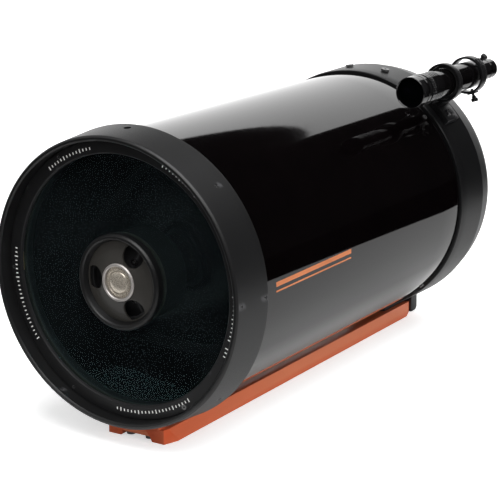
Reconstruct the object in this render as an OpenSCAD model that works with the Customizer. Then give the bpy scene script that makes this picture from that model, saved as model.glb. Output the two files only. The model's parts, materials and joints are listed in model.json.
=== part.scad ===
// Schmidt-Cassegrain telescope tube: corrector, folded mirrors, rear focuser,
// straight-through finder and wide dovetail bar. Millimetres.
//
// Frame: origin at the middle of the dovetail bar's bottom face, +Z up,
// +Y along the optical axis from the front opening towards the rear port.
// Along the tube, z of the local frame is the distance behind the front lip.

/* [Optics] */
// Clear aperture of the corrector
aperture_d = 235; // [234:0.5:236]
// Height of the optical axis above the bottom of the dovetail bar
axis_h = 157; // [157:0.5:160]
// Focal length of the primary mirror
primary_f = 540; // [500:10:600]
// Distance from the front lip to the vertex of the primary mirror
primary_z = 443; // [441:0.5:445]
// Diameter of the secondary housing
secondary_d = 90; // [89:0.5:91]

/* [Tube] */
// Outside diameter of the tube
tube_d = 263.2; // [263:0.1:263.4]
// Wall thickness of the tube
tube_wall = 1.6; // [1.4:0.1:1.7]
// Distance from the front lip to the visible rear end of the tube
tube_end = 435.2; // [434:0.2:436]
// Outside diameter of the front cell at its lip
lip_d = 272.4; // [272:0.1:273]
// Outside diameter of the front cell at its rear edge
cell_d = 279.6; // [279:0.1:280]
// Length of the front cell
cell_len = 45; // [44.5:0.1:45.5]
// Distance from the front lip to the flat back of the rear cell
back_z = 528; // [527.5:0.1:528.5]

/* [Dovetail bar] */
// Length of the bar
bar_len = 484; // [480:1:486]
// Width of the bar at its bottom
bar_w = 76; // [75:0.5:77]
// Height of the bar's flanks
bar_h = 15; // [14.5:0.1:15.5]

/* [Focuser] */
// Distance of the focus screw from the optical axis
focus_r = 78; // [77:0.5:79]
// Direction of the focus screw, from the top towards +X
focus_angle = -110; // [-115:1:-105]

/* [Finder] */
// Distance of the finder's axis from the optical axis
finder_r = 178.5; // [178:0.5:180]
// Direction of the finder, from the top towards +X
finder_angle = 41.6; // [40:0.2:43]
// Distance from the front lip to the front of the finder
finder_z = 344; // [343:0.5:345]

/* [Hidden] */
$fn = 96;

slip = 0.05;                                  // gap between pieces that are fixed together
bar_front_z = 31;                             // the bar's front end, behind the lip
bar_back_z = bar_front_z + bar_len;
front_y = -bar_len / 2 - bar_front_z;         // the front lip in the row frame
tube_r = tube_d / 2;
tube_start = 30.1;
cell_in_r = tube_r - tube_wall - slip;        // spigots of both cells inside the tube
ring_z = 14.6;                                // front face of the retaining ring
ring_t = 3.5;
ring_out_r = 130.8;
ring_screw_r = 127;
glass_z = ring_z + ring_t + 1.1;              // front face of the corrector
glass_t = 5;
glass_r = 122.5;
seat_z = glass_z + glass_t + 1;
port_r = 25.4;                                // two-inch rear thread, drawn plain
baffle_r = 24;
saddle_r = 146.5;                             // concave top of the dovetail bar
secondary_r = secondary_d / 2;
eyepiece_r = 15.93;                           // socket for 31.75 mm eyepieces

// ---------- placement helpers ----------

// Local +Z becomes the optical axis, local -Y becomes up
module on_axis() { translate([0, front_y, axis_h]) rotate([-90, 0, 0]) children(); }

// Turns the children round the axis; zero is the top and +X follows
module around(a) { rotate([0, 0, a]) children(); }

// A radial direction: local +Z of the children points outwards from the axis at z
module radial(a, z) { around(a) translate([0, 0, z]) rotate([90, 0, 0]) children(); }

module on_finder() {
    on_axis() around(finder_angle) translate([0, -finder_r, 0]) children();
}

module on_focus() {
    on_axis() around(focus_angle) translate([0, -focus_r, 0]) children();
}

// ---------- shape helpers ----------

module ring(r_in, r_out, z0, z1) {
    translate([0, 0, z0]) difference() {
        cylinder(r = r_out, h = z1 - z0);
        translate([0, 0, -1]) cylinder(r = r_in, h = z1 - z0 + 2);
    }
}

module turned(points) { rotate_extrude() polygon(points); }

// A ring with scalloped grip flutes round its outside
module fluted(r_in, r_out, z0, z1, flutes, flute_r) {
    translate([0, 0, z0]) linear_extrude(z1 - z0) difference() {
        circle(r = r_out);
        circle(r = r_in);
        for (i = [0 : flutes - 1]) rotate(i * 360 / flutes) translate([r_out + flute_r * 0.55, 0])
            circle(r = flute_r, $fn = 24);
    }
}

// A screw whose head's underside is at z = 0 and whose shank runs down to -length
module cap_screw(shank_r, length, head_r, head_h, key_r) {
    difference() {
        union() {
            translate([0, 0, -length]) cylinder(r = shank_r, h = length);
            cylinder(r = head_r, h = head_h);
        }
        translate([0, 0, head_h * 0.35]) cylinder(r = key_r, h = head_h, $fn = 6);
    }
}

module grub_screw(r, length, key_r) {
    difference() {
        translate([0, 0, -length]) cylinder(r = r, h = length);
        translate([0, 0, -length * 0.4]) cylinder(r = key_r, h = length, $fn = 6);
    }
}

// Outside radius of the front cell, which widens slightly between its two rounded edges
function cell_r(z) = lip_d / 2
    + (cell_d - lip_d) / 2 * (z - lip_edge) / (cell_len - lip_edge - cell_edge);

// ---------- front cell and corrector ----------

lip_edge = 1.8;
cell_edge = 1.5;
tube_screw_z = 40.2;
grub_z = 27;
lip_screw_z = 6.5;
ring_screw_start = 28;
tube_screw_angles = [90, 150, 210, 270];
grub_angles = [45, 135, 225, 315];
lip_screw_angles = [90, 210, 330];
ring_screws = 6;
ring_sink = 1.4;                   // depth of the sinks for the ring's screw heads
block_half_w = 26;
block_z0 = bar_front_z + 0.5;
block_z1 = cell_len - 0.5;
bolt_x = 11;
bolt_r = 2.5;
front_bolt_z = 38;
front_bolt_len = 18.4;
rear_bolt_z = 492;
rear_bolt_len = 14.4;
accessory_hole_z = 31;
accessory_hole_r = 2.1;

// The children at each retaining ring screw, with z = 0 on the ring's front face
module at_ring_screws() {
    for (i = [0 : ring_screws - 1]) around(ring_screw_start + i * 360 / ring_screws)
        translate([0, -ring_screw_r, ring_z]) children();
}

module front_cell() {
    color([0.13, 0.13, 0.13]) on_axis() difference() {
        turned([
            [131, 1.2], [132.2, 0], [lip_d / 2 - lip_edge, 0], [lip_d / 2, lip_edge],
            [cell_d / 2, cell_len - cell_edge], [cell_d / 2 - 1, cell_len],
            [tube_r + slip, cell_len], [tube_r + slip, 30],
            [cell_in_r, 30], [cell_in_r, 40],
            [126, 40], [126, 34], [119.5, 34], [119.5, seat_z],
            [124, seat_z], [124, ring_z + ring_t], [131, ring_z + ring_t]
        ]);
        at_ring_screws() cylinder(r = 1.3, h = 11);
        for (a = tube_screw_angles) radial(a, tube_screw_z) cylinder(r = 2, h = 150);
        for (a = grub_angles) radial(a, grub_z) translate([0, 0, 133]) cylinder(r = 1.6, h = 20);
        for (a = lip_screw_angles) radial(a, lip_screw_z) translate([0, 0, 128])
            cylinder(r = 1.3, h = 20);
        radial(0, accessory_hole_z) {
            translate([0, 0, 133.2]) cylinder(r = accessory_hole_r, h = 20);
            translate([0, 0, cell_r(accessory_hole_z) - 0.9]) cylinder(r = 3.5, h = 5);
        }
        for (x = [-bolt_x, bolt_x]) translate([x, 0, front_bolt_z]) rotate([-90, 0, 0])
            translate([0, 0, 132.4]) cylinder(r = bolt_r + slip, h = 20);
    }
}

module corrector_retaining_ring() {
    color([0.1, 0.1, 0.1]) on_axis() difference() {
        turned([
            [aperture_d / 2, ring_z + 0.8], [aperture_d / 2 + 0.8, ring_z],
            [ring_out_r - 0.5, ring_z], [ring_out_r, ring_z + 0.5],
            [ring_out_r, ring_z + ring_t - 0.1], [aperture_d / 2, ring_z + ring_t - 0.1]
        ]);
        at_ring_screws() {
            translate([0, 0, -1]) cylinder(r = 1.5, h = ring_t + 2);
            translate([0, 0, -1]) cylinder(r = 2.7, h = 1 + ring_sink);
        }
    }
}

module retaining_ring_screws() {
    color([0.2, 0.2, 0.2]) on_axis() at_ring_screws()
        translate([0, 0, ring_sink - slip]) rotate([180, 0, 0]) cap_screw(1.25, 8, 2.5, 1.2, 1.1);
}

module corrector_plate() {
    color([0.1, 0.16, 0.16]) on_axis() ring(37.2, glass_r, glass_z, glass_z + glass_t);
}

module corrector_gaskets() {
    color([0.25, 0.2, 0.15]) on_axis() {
        ring(119.6, glass_r, ring_z + ring_t + slip, glass_z - slip);
        ring(119.6, glass_r, glass_z + glass_t + slip, seat_z - slip);
    }
}

module corrector_edge_shims() {
    color([0.6, 0.45, 0.3]) on_axis()
        for (a = [0 : 90 : 270]) around(a) intersection() {
            ring(glass_r + slip, 124 - slip, glass_z, glass_z + glass_t);
            translate([-9, -130, glass_z]) cube([18, 20, glass_t]);
        }
}

module front_tube_screws() {
    color([0.2, 0.2, 0.2]) on_axis() for (a = tube_screw_angles) radial(a, tube_screw_z)
        translate([0, 0, cell_r(tube_screw_z) - 0.7]) grub_screw(1.9, 6.6, 0.95);
}

module front_cell_grub_screws() {
    color([0.2, 0.2, 0.2]) on_axis() for (a = grub_angles) radial(a, grub_z)
        translate([0, 0, cell_r(grub_z) - 0.6]) grub_screw(1.5, 4.5, 0.8);
}

module lip_grub_screws() {
    color([0.2, 0.2, 0.2]) on_axis() for (a = lip_screw_angles) radial(a, lip_screw_z)
        translate([0, 0, cell_r(lip_screw_z) - 0.5]) grub_screw(1.2, 4.4, 0.65);
}

module optical_tube() {
    color([0.03, 0.03, 0.03]) on_axis() difference() {
        ring(tube_r - tube_wall, tube_r, tube_start, tube_end);
        for (a = tube_screw_angles) radial(a, tube_screw_z) cylinder(r = 2, h = 150);
        for (a = rear_tube_angles) radial(a, rear_tube_screw_z) cylinder(r = 1.6, h = 150);
    }
}

// ---------- rear cell ----------

rear_tube_angles = [45, 135, 225, 315];
rear_tube_screw_z = 427;
plug_angles = [-8, 11];
plug_z = 462;
foot_angles = [finder_angle - 6.8, finder_angle + 6.8];
foot_screw_z = 458;
focus_plate_screw_r = 14;
lug_z0 = bar_back_z + 0.8;
lug_z1 = 529.5;
lug_half_w = 35;
pad_z0 = 468;
pad_z1 = 523.5;

// Outside radius of the rear cell between its front edge and its rim
function rear_r(z) = 134.6 + 0.4 * (z - 446.7) / 40.3;

module rear_shell() {
    turned([
        [cell_in_r, 420], [cell_in_r, 437.4], [133.2, 437.8], [134, 438.6],
        [134.6, 446.7], [135, 487], [134.2, 491], [132.8, 498], [131.4, 505],
        [130, 510.5], [127.6, 516], [123.8, 522], [118.5, 526.2], [112, back_z - 0.4],
        [108, back_z], [54, back_z], [53, back_z + 2], [port_r, back_z + 2],
        [port_r, back_z + 13], [port_r - 1, back_z + 14], [19, back_z + 14], [19, 516],
        [baffle_r + slip, 516], [baffle_r + slip, 500], [33, 500], [33, 521.5], [110, 521.5],
        [117, 519.5], [122.5, 514], [125.2, 509], [127.5, 500], [128.6, 490], [128.6, 480],
        [126, 446], [126, 420]
    ]);
}

// Bottom pad that sits on the dovetail bar
module rear_pad() {
    difference() {
        translate([-block_half_w, 128, pad_z0]) cube([2 * block_half_w, 24, pad_z1 - pad_z0]);
        difference() {
            translate([0, 0, 460]) cylinder(r = 170, h = 80);
            translate([0, 0, 459]) cylinder(r = saddle_r - slip, h = 82);
        }
        translate([0, 0, 460]) cylinder(r = 132, h = 25);
        translate([0, 0, 484]) cylinder(r = 129, h = 30);
        translate([0, 0, 513]) cylinder(r = 112, h = 8.5);
    }
}

// Foot behind the bar's rear end, rounded where it meets the floor
module rear_lug() {
    corner_r = 5;
    top = 118;
    bottom = axis_h - 1;
    rotate([0, -90, 0]) translate([0, 0, -lug_half_w]) linear_extrude(2 * lug_half_w) {
        translate([lug_z0, top]) square([lug_z1 - lug_z0 - corner_r, bottom - top]);
        translate([lug_z0, top]) square([lug_z1 - lug_z0, bottom - corner_r - top]);
        translate([lug_z1 - corner_r, bottom - corner_r]) circle(r = corner_r);
    }
}

module rear_cell() {
    color([0.13, 0.13, 0.13]) difference() {
        on_axis() {
            rear_shell();
            rear_pad();
            rear_lug();
        }
        on_axis() {
            translate([0, 0, 500]) cylinder(r = 19, h = 60);
            for (a = rear_tube_angles) radial(a, rear_tube_screw_z) cylinder(r = 1.35, h = 140);
            for (a = plug_angles) radial(a, plug_z) translate([0, 0, 129]) cylinder(r = 2, h = 20);
            for (a = foot_angles) radial(a, foot_screw_z) translate([0, 0, 127.5])
                cylinder(r = 2, h = 20);
            for (x = [-bolt_x, bolt_x]) translate([x, 0, rear_bolt_z]) rotate([-90, 0, 0])
                translate([0, 0, 136]) cylinder(r = bolt_r + slip, h = 20);
        }
        on_focus() {
            translate([0, 0, 510]) cylinder(r = 10.5, h = 40);
            for (i = [0 : 2]) rotate(i * 120 + 20) translate([focus_plate_screw_r, 0, 523])
                cylinder(r = 1.5, h = 10);
        }
    }
}

module rear_tube_screws() {
    color([0.2, 0.2, 0.2]) on_axis() for (a = rear_tube_angles) radial(a, rear_tube_screw_z)
        translate([0, 0, tube_r + slip]) cap_screw(1.3, 4, 2.6, 0.9, 1.1);
}

module rear_plug_screws() {
    color([0.16, 0.16, 0.16]) on_axis() for (a = plug_angles) radial(a, plug_z)
        translate([0, 0, rear_r(plug_z) + 0.35]) cap_screw(1.9, 4, 4.4, 2.2, 1.6);
}

module primary_baffle_tube() {
    color([0.06, 0.06, 0.06]) on_axis() turned([
        [20.5, 262], [21.8, 262], [22.2, 264], [22.2, 404], [baffle_r, 408], [baffle_r, 515.5],
        [20.5, 515.5]
    ]);
}

module baffle_lock_ring() {
    color([0.3, 0.3, 0.3]) on_axis() difference() {
        ring(baffle_r + slip, 31, 494.5, 499.9);
        for (i = [0 : 3]) around(i * 90) translate([-2, -33, 493]) cube([4, 5, 4]);
    }
}

// ---------- primary mirror and focuser ----------

mirror_r = 118.5;
mirror_back_z = primary_z + 19;
hub_r = 28.9;
arm_z1 = 500;
function sag(r) = r * r / (4 * primary_f);

module primary_mirror() {
    steps = 12;
    color([0.85, 0.87, 0.9]) on_axis() turned(concat(
        [for (i = [0 : steps]) let (r = 29.2 + (mirror_r - 1 - 29.2) * i / steps)
            [r, primary_z - sag(r)]],
        [[mirror_r, primary_z - sag(mirror_r) + 1], [mirror_r, mirror_back_z - 1],
         [mirror_r - 1, mirror_back_z], [29.2, mirror_back_z]]
    ));
}

module mirror_cork_ring() {
    color([0.6, 0.45, 0.3]) on_axis()
        ring(30, 76, mirror_back_z + slip, mirror_back_z + 1 - slip);
}

module mirror_carrier() {
    color([0.45, 0.46, 0.48]) {
        difference() {
            union() {
                on_axis() {
                    turned([
                        [baffle_r + slip, 433], [hub_r, 433], [hub_r, mirror_back_z + 1],
                        [79, mirror_back_z + 1], [80, mirror_back_z + 2],
                        [80, mirror_back_z + 6], [38, mirror_back_z + 6],
                        [33, 482], [baffle_r + slip, 482]
                    ]);
                    for (i = [0 : 5]) around(focus_angle + 30 + i * 60)
                        translate([-2, -72, mirror_back_z + 5.5]) cube([4, 40, 6]);
                }
                on_focus() translate([0, 0, mirror_back_z + 1])
                    cylinder(r = 11, h = arm_z1 - mirror_back_z - 1);
            }
            on_focus() {
                translate([0, 0, 460]) cylinder(r = 4.5, h = 60);
                translate([0, 0, 487]) cylinder(r = 6 + slip, h = 30);
            }
        }
    }
}

module mirror_clamp_ring() {
    color([0.3, 0.3, 0.32]) on_axis() difference() {
        ring(hub_r + slip, 35, 437, primary_z - sag(35) - slip);
        for (i = [0 : 3]) around(i * 90) translate([-1.5, -37, 436]) cube([3, 4, 4]);
    }
}

module focus_nut() {
    color([0.75, 0.6, 0.25]) on_focus() ring(3.17, 6, 487.2, arm_z1 + 1);
}

module focus_screw() {
    color([0.7, 0.7, 0.72]) on_focus() turned([
        [0, 476.5], [2.5, 476.5], [3.1, 477.2], [3.1, 517], [6.5, 517], [6.5, 521.2],
        [4, 521.2], [4, 558], [0, 558]
    ]);
}

module focus_thrust_bearing() {
    color([0.6, 0.6, 0.62]) on_focus() {
        ring(4.05, 10.4, 521.6, 523.4);
        ring(4.05, 10.4, 525.6, 527.4);
        for (i = [0 : 9]) rotate(i * 36) translate([7.2, 0, 524.5]) sphere(r = 1.05, $fn = 24);
    }
}

module focus_retainer_plate() {
    color([0.12, 0.12, 0.12]) on_focus() difference() {
        union() {
            ring(4.3, 18.5, back_z + slip, back_z + 3.5);
            ring(4.3, 8, back_z + 3, back_z + 5);
        }
        for (i = [0 : 2]) rotate(i * 120 + 20) translate([focus_plate_screw_r, 0, 520])
            cylinder(r = 1.7, h = 20);
    }
}

module focus_plate_screws() {
    color([0.3, 0.3, 0.3]) on_focus() for (i = [0 : 2]) rotate(i * 120 + 20)
        translate([focus_plate_screw_r, 0, back_z + 3.5 + slip]) cap_screw(1.45, 7.5, 2.6, 1.2, 1.1);
}

module focus_knob_core() {
    color([0.1, 0.1, 0.1]) on_focus() difference() {
        turned([
            [4.05, back_z + 5.4], [12.9, back_z + 5.4], [12.9, back_z + 35],
            [11.5, back_z + 36.4], [7, back_z + 36.4], [7, back_z + 33], [4.05, back_z + 33]
        ]);
        translate([0, 0, back_z + 20]) rotate([90, 0, 0]) cylinder(r = 1.2, h = 30);
    }
}

module focus_knob_grip() {
    color([0.07, 0.07, 0.07]) on_focus()
        fluted(12.95, 17.5, back_z + 6, back_z + 34.5, 20, 1.6);
}

// ---------- secondary mirror ----------

house_z = 9;                       // front of the secondary housing
cover_angles = [30, 150, 270];
screw_r_pos = 21;
window_r = 11;                     // each window is round, cut off near the cover's rim
window_at = 29.5;
window_reach = 36.6;
plate_z = 31.5;
secondary_z = 45;
pivot_ball_z = 31.2;
pivot_ball_r = 3;

module secondary_housing() {
    color([0.14, 0.14, 0.14]) on_axis() difference() {
        turned([
            [38, house_z + 1.6], [39.4, house_z], [secondary_r - 2.2, house_z],
            [secondary_r, house_z + 2.2], [secondary_r, glass_z - 0.6], [37, glass_z - 0.6],
            [37, 30], [34, 30], [34, 27.5], [5, 27.5], [5, 29.8], [0, 29.8], [0, 23.5],
            [34, 23.5], [34, 18], [38, 18]
        ]);
        for (a = cover_angles) around(a) translate([0, -screw_r_pos, 20]) cylinder(r = 1.8, h = 12);
        translate([0, 0, pivot_ball_z]) sphere(r = pivot_ball_r + slip);
    }
}

module secondary_gaskets() {
    color([0.25, 0.2, 0.15]) on_axis() {
        ring(37.3, secondary_r - 1, glass_z - 0.55, glass_z - slip);
        ring(37.3, secondary_r - 1, glass_z + glass_t + slip, glass_z + glass_t + 0.55);
    }
}

module secondary_baffle_cup() {
    color([0.08, 0.08, 0.08]) on_axis() turned([
        [37.05, glass_z + glass_t + 0.6], [secondary_r - 2.5, glass_z + glass_t + 0.6],
        [secondary_r - 2.5, 58], [secondary_r - 4, 58], [secondary_r - 4, 29.5], [37.05, 29.5]
    ]);
}

// Shallow cone with three rounded windows over the collimation screws
module secondary_cover() {
    color([0.16, 0.16, 0.16]) on_axis() difference() {
        turned([
            [16.2, 11.2], [18.5, 11.2], [30, 14.6], [37.9, 15.6], [37.9, 17.4], [30, 16.6],
            [18.5, 14], [16.2, 14]
        ]);
        for (a = cover_angles) around(a) translate([0, 0, 5]) linear_extrude(20) intersection() {
            translate([0, -window_at]) circle(r = window_r);
            circle(r = window_reach);
        }
    }
}

module secondary_cap_ring() {
    color([0.7, 0.68, 0.66]) on_axis() turned([
        [14.9, 13.9], [14.9, 10.2], [15.6, 9.2], [17, 9.2], [17.8, 10.1], [17.8, 11.15],
        [16.15, 11.15], [16.15, 13.9]
    ]);
}

module secondary_cap() {
    color([0.75, 0.7, 0.6]) on_axis() turned([
        [0, 8.6], [4, 8.8], [8, 9.5], [11, 10.6], [13.2, 12], [13.2, 13.4], [14.8, 13.4],
        [14.8, 15], [0, 15]
    ]);
}

module secondary_pivot() {
    color([0.7, 0.7, 0.72]) on_axis() translate([0, 0, pivot_ball_z]) sphere(r = pivot_ball_r);
}

module secondary_plate() {
    color([0.4, 0.4, 0.42]) on_axis() difference() {
        translate([0, 0, plate_z - 3]) cylinder(r = 30, h = 7);
        translate([0, 0, plate_z - 5]) cylinder(r = 6.4, h = 4.5);
        translate([0, 0, pivot_ball_z]) sphere(r = pivot_ball_r + slip);
        for (a = cover_angles) around(a) translate([0, -screw_r_pos, 20]) cylinder(r = 1.9, h = 20);
    }
}

module secondary_mirror() {
    steps = 8;
    color([0.85, 0.87, 0.9]) on_axis() turned(concat(
        [[0, plate_z + 4.1], [33.4, plate_z + 4.1], [34, plate_z + 4.7]],
        [for (i = [0 : steps]) let (r = 34 - 34 * i / steps)
            [r, secondary_z - r * r / 900]]
    ));
}

module collimation_screw(a) {
    color([0.65, 0.65, 0.66]) on_axis() around(a) translate([0, -screw_r_pos, 23.4])
        rotate([180, 0, 0]) cap_screw(1.6, 10.6, 3, 2.6, 1.35);
}

// ---------- dovetail bar ----------

rail_w = 20;
web_z = 5;

module dovetail_bar() {
    flank_in = bar_h * tan(15);
    bevel_x = 6;
    bevel_y = 17;
    color([0.75, 0.28, 0.14]) difference() {
        translate([0, bar_len / 2, 0]) rotate([90, 0, 0]) linear_extrude(bar_len) difference() {
            polygon([
                [-bar_w / 2 + 0.8, 0], [-bar_w / 2 + rail_w, 0], [-bar_w / 2 + rail_w + 2, web_z],
                [bar_w / 2 - rail_w - 2, web_z], [bar_w / 2 - rail_w, 0], [bar_w / 2 - 0.8, 0],
                [bar_w / 2, 0.8], [bar_w / 2 - flank_in, bar_h], [-bar_w / 2 + flank_in, bar_h],
                [-bar_w / 2, 0.8]
            ]);
            translate([0, axis_h]) circle(r = saddle_r, $fn = 200);
        }
        for (sx = [-1, 1], sy = [-1, 1]) translate([sx * bar_w / 2, sy * bar_len / 2, -1])
            linear_extrude(bar_h + 2) polygon([
                [0, -sy * bevel_y], [-sx * bevel_x, 0], [-sx * bevel_x, sy], [sx, sy],
                [sx, -sy * bevel_y]
            ]);
        for (x = [-bolt_x, bolt_x], z = [front_bolt_z, rear_bolt_z])
            translate([x, front_y + z, -1]) cylinder(r = bolt_r + 0.3, h = 30);
    }
}

module dovetail_front_block() {
    color([0.7, 0.26, 0.13]) on_axis() difference() {
        intersection() {
            turned([
                [cell_r(block_z0) + slip, block_z0], [saddle_r - slip, block_z0],
                [saddle_r - slip, block_z1], [cell_r(block_z1) + slip, block_z1]
            ]);
            translate([-block_half_w, 0, 0]) cube([2 * block_half_w, 200, 100]);
        }
        for (x = [-bolt_x, bolt_x]) translate([x, 0, front_bolt_z]) rotate([-90, 0, 0])
            cylinder(r = bolt_r + 0.3, h = 200);
    }
}

module dovetail_bolts() {
    color([0.2, 0.2, 0.2]) for (x = [-bolt_x, bolt_x]) {
        translate([x, front_y + front_bolt_z, web_z - slip]) rotate([180, 0, 0])
            cap_screw(bolt_r, front_bolt_len, 4.25, 4, 2);
        translate([x, front_y + rear_bolt_z, web_z - slip]) rotate([180, 0, 0])
            cap_screw(bolt_r, rear_bolt_len, 4.25, 4, 2);
    }
}

// ---------- visual back ----------

vb_z = back_z + 14.2;
vb_end = back_z + 40;
vb_screw_angle = 60;
vb_screw_z = vb_end - 8;

module visual_back() {
    color([0.12, 0.12, 0.12]) on_axis() difference() {
        turned([
            [eyepiece_r, vb_z], [24.6, vb_z], [24.6, vb_z + 2.4], [19.6, vb_z + 2.4],
            [19.6, vb_end - 1], [18.6, vb_end], [eyepiece_r + 0.6, vb_end],
            [eyepiece_r, vb_end - 0.6]
        ]);
        radial(vb_screw_angle, vb_screw_z) cylinder(r = 2.05, h = 30);
    }
}

module visual_back_slip_ring() {
    color([0.1, 0.1, 0.1]) on_axis() {
        ring(19.8, 29, vb_z + 2.6, vb_z + 5.4);
        fluted(port_r + 0.08, 31, back_z + 2.6, vb_z + 5, 36, 1.1);
    }
}

module visual_back_screw_shank() {
    color([0.7, 0.7, 0.72]) on_axis() radial(vb_screw_angle, vb_screw_z)
        translate([0, 0, 16.6]) cylinder(r = 1.98, h = 8.6);
}

// A thumb-screw head with a stepped neck; its shank socket opens downwards
module thumb_knob(neck_r, head_r, neck_h, head_h, bore_r, bore_h) {
    difference() {
        union() {
            cylinder(r = neck_r, h = neck_h + 0.1);
            fluted(0.01, head_r, neck_h, neck_h + head_h, 14, head_r * 0.2);
        }
        translate([0, 0, -1]) cylinder(r = bore_r, h = bore_h + 1);
    }
}

module visual_back_screw_knob() {
    color([0.1, 0.1, 0.1]) on_axis() radial(vb_screw_angle, vb_screw_z)
        translate([0, 0, 21.2]) thumb_knob(3.4, 6, 2, 6, 2.03, 4.2);
}

// ---------- finder ----------

ring1_z = [415.5, 424];             // front bracket ring, with the rubber ring inside
ring1_r = 20;
ring2_z = [471, 482];              // rear bracket ring, with the aiming screws
ring2_r = 19.9;
finder_barrel_r = 14.45;
finder_nose_r = 14;                // thread that carries the objective cell and lock ring
finder_grip_r = 15.8;
finder_cell_r = 16.1;
finder_cell_len = 18.6;
finder_screw_z = 476.5;
finder_eye_z = 528;                // rear end of the eyepiece
pivot_z = 419;
o_ring_r = 1.5;

module finder_bracket() {
    foot_z = [447.5, 473];
    foot_r = 141;
    color([0.09, 0.09, 0.09]) difference() {
        union() {
            on_finder() {
                translate([0, 0, ring1_z[0]]) cylinder(r = ring1_r, h = ring1_z[1] - ring1_z[0]);
                translate([0, 0, ring2_z[0]]) cylinder(r = ring2_r, h = ring2_z[1] - ring2_z[0]);
                translate([-7, 18.6, ring1_z[0]]) cube([14, 6, ring2_z[1] - ring1_z[0]]);
                translate([-6, 22, 449]) cube([12, 20, 24]);
                for (i = [0 : 2]) rotate(180 + i * 120)
                    translate([-4.5, ring2_r - 2, finder_screw_z - 4.5]) cube([9, 3, 9]);
            }
            on_axis() around(finder_angle) intersection() {
                turned([
                    [rear_r(foot_z[0]) + 0.1, foot_z[0]], [foot_r, foot_z[0]],
                    [foot_r, foot_z[1]], [rear_r(foot_z[1]) + 0.1, foot_z[1]]
                ]);
                translate([-25, -200, 400]) cube([50, 200, 100]);
            }
        }
        on_finder() {
            translate([0, 0, 400]) cylinder(r = 17.6, h = 40);
            translate([0, 0, 460]) cylinder(r = 17.6, h = 40);
            for (i = [0 : 2]) rotate(i * 120) translate([0, 0, finder_screw_z])
                rotate([90, 0, 0]) cylinder(r = 1.55, h = 40);
        }
        on_axis() for (a = foot_angles) radial(a, foot_screw_z) translate([0, 0, 120])
            cylinder(r = 2.3, h = 30);
    }
}

module finder_bracket_screws() {
    color([0.5, 0.5, 0.5]) on_axis() for (a = foot_angles) radial(a, foot_screw_z)
        translate([0, 0, 141 + slip]) cap_screw(1.95, 11, 3.8, 2.4, 1.5);
}

module finder_o_ring() {
    color([0.05, 0.05, 0.05]) on_finder() translate([0, 0, pivot_z]) rotate_extrude()
        translate([finder_barrel_r + o_ring_r + slip, 0]) circle(r = o_ring_r, $fn = 32);
}

module finder_barrel() {
    z = finder_z;
    groove = 0.8;
    color([0.05, 0.05, 0.05]) on_finder() turned(concat(
        [[12, z + 13.6], [13.4, z + 13.6], [finder_nose_r, z + 14.2], [finder_nose_r, z + 27.6],
         [finder_grip_r - groove, z + 27.6], [finder_grip_r, z + 28.4]],
        [for (k = [0 : 3], p = [[0, 2], [-groove, 2.5], [-groove, 3.3], [0, 3.8]])
            [finder_grip_r + p[0], z + 28.4 + k * 4 + p[1]]],
        [[finder_grip_r, z + 46.6], [finder_barrel_r, z + 47.6], [finder_barrel_r, 489],
         [13.6, 491], [12.2, 496], [12.2, 499], [10.05, 499], [10.05, 485], [12, 482]]
    ));
}

module finder_objective_cell() {
    r = finder_cell_r;
    z = finder_z;
    color([0.05, 0.05, 0.05]) on_finder() turned([
        [14.85, z + 0.7], [15.4, z], [r - 0.5, z], [r, z + 0.5], [r, z + 11], [r - 0.5, z + 11.5],
        [r - 0.5, z + 13], [r, z + 13.5], [r, z + finder_cell_len - 0.5],
        [r - 0.5, z + finder_cell_len], [finder_nose_r + slip, z + finder_cell_len],
        [finder_nose_r + slip, z + 11.2], [13, z + 11.2], [13, z + 10.5], [14.85, z + 10.5]
    ]);
}

module finder_objective_lens() {
    z = finder_z;
    color([0.1, 0.1, 0.16]) on_finder() turned([
        [0, z + 3.6], [7.4, z + 4.1], [14.8, z + 5.7], [14.8, z + 9.4], [8.6, z + 10.2],
        [0, z + 10.4]
    ]);
}

module finder_lock_ring() {
    color([0.1, 0.1, 0.1]) on_finder()
        fluted(finder_nose_r + slip, finder_cell_r, finder_z + 21, finder_z + 27.4, 40, 0.5);
}

module finder_eyepiece() {
    z = finder_eye_z;
    color([0.05, 0.05, 0.05]) on_finder() turned([
        [0, z - 7], [8, z - 7], [8, z - 32], [8.9, z - 32], [8.9, z - 41], [10, z - 41],
        [10, z - 27.4], [10.8, z - 27], [10.8, z - 15], [10.4, z - 14.4], [10.4, z - 12.6],
        [10.8, z - 12], [10.8, z - 1], [10, z], [7.6, z], [7.6, z - 4], [0, z - 5.6]
    ]);
}

module finder_reticle() {
    z = finder_eye_z - 25;
    wire = 0.3;
    color([0.3, 0.3, 0.3]) on_finder() {
        ring(6.6, 7.9, z - 1, z + 1.5);
        for (a = [0, 90]) rotate(a) translate([-6.9, -wire / 2, z]) cube([13.8, wire, wire]);
    }
}

// Local +Z of the children points outwards along aiming screw i
module at_finder_screw(i) {
    on_finder() rotate(i * 120) translate([0, 0, finder_screw_z]) rotate([90, 0, 0]) children();
}

module finder_screw_shank(i) {
    color([0.7, 0.7, 0.72]) at_finder_screw(i) translate([0, 0, 15.5])
        cylinder(r = 1.5, h = 12.4);
}

module finder_screw_knob(i) {
    color([0.08, 0.08, 0.08]) at_finder_screw(i) translate([0, 0, 23.4])
        thumb_knob(2.3, 3.6, 2.8, 3.4, 1.55, 4.7);
}

// ---------- nodes ----------

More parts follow.
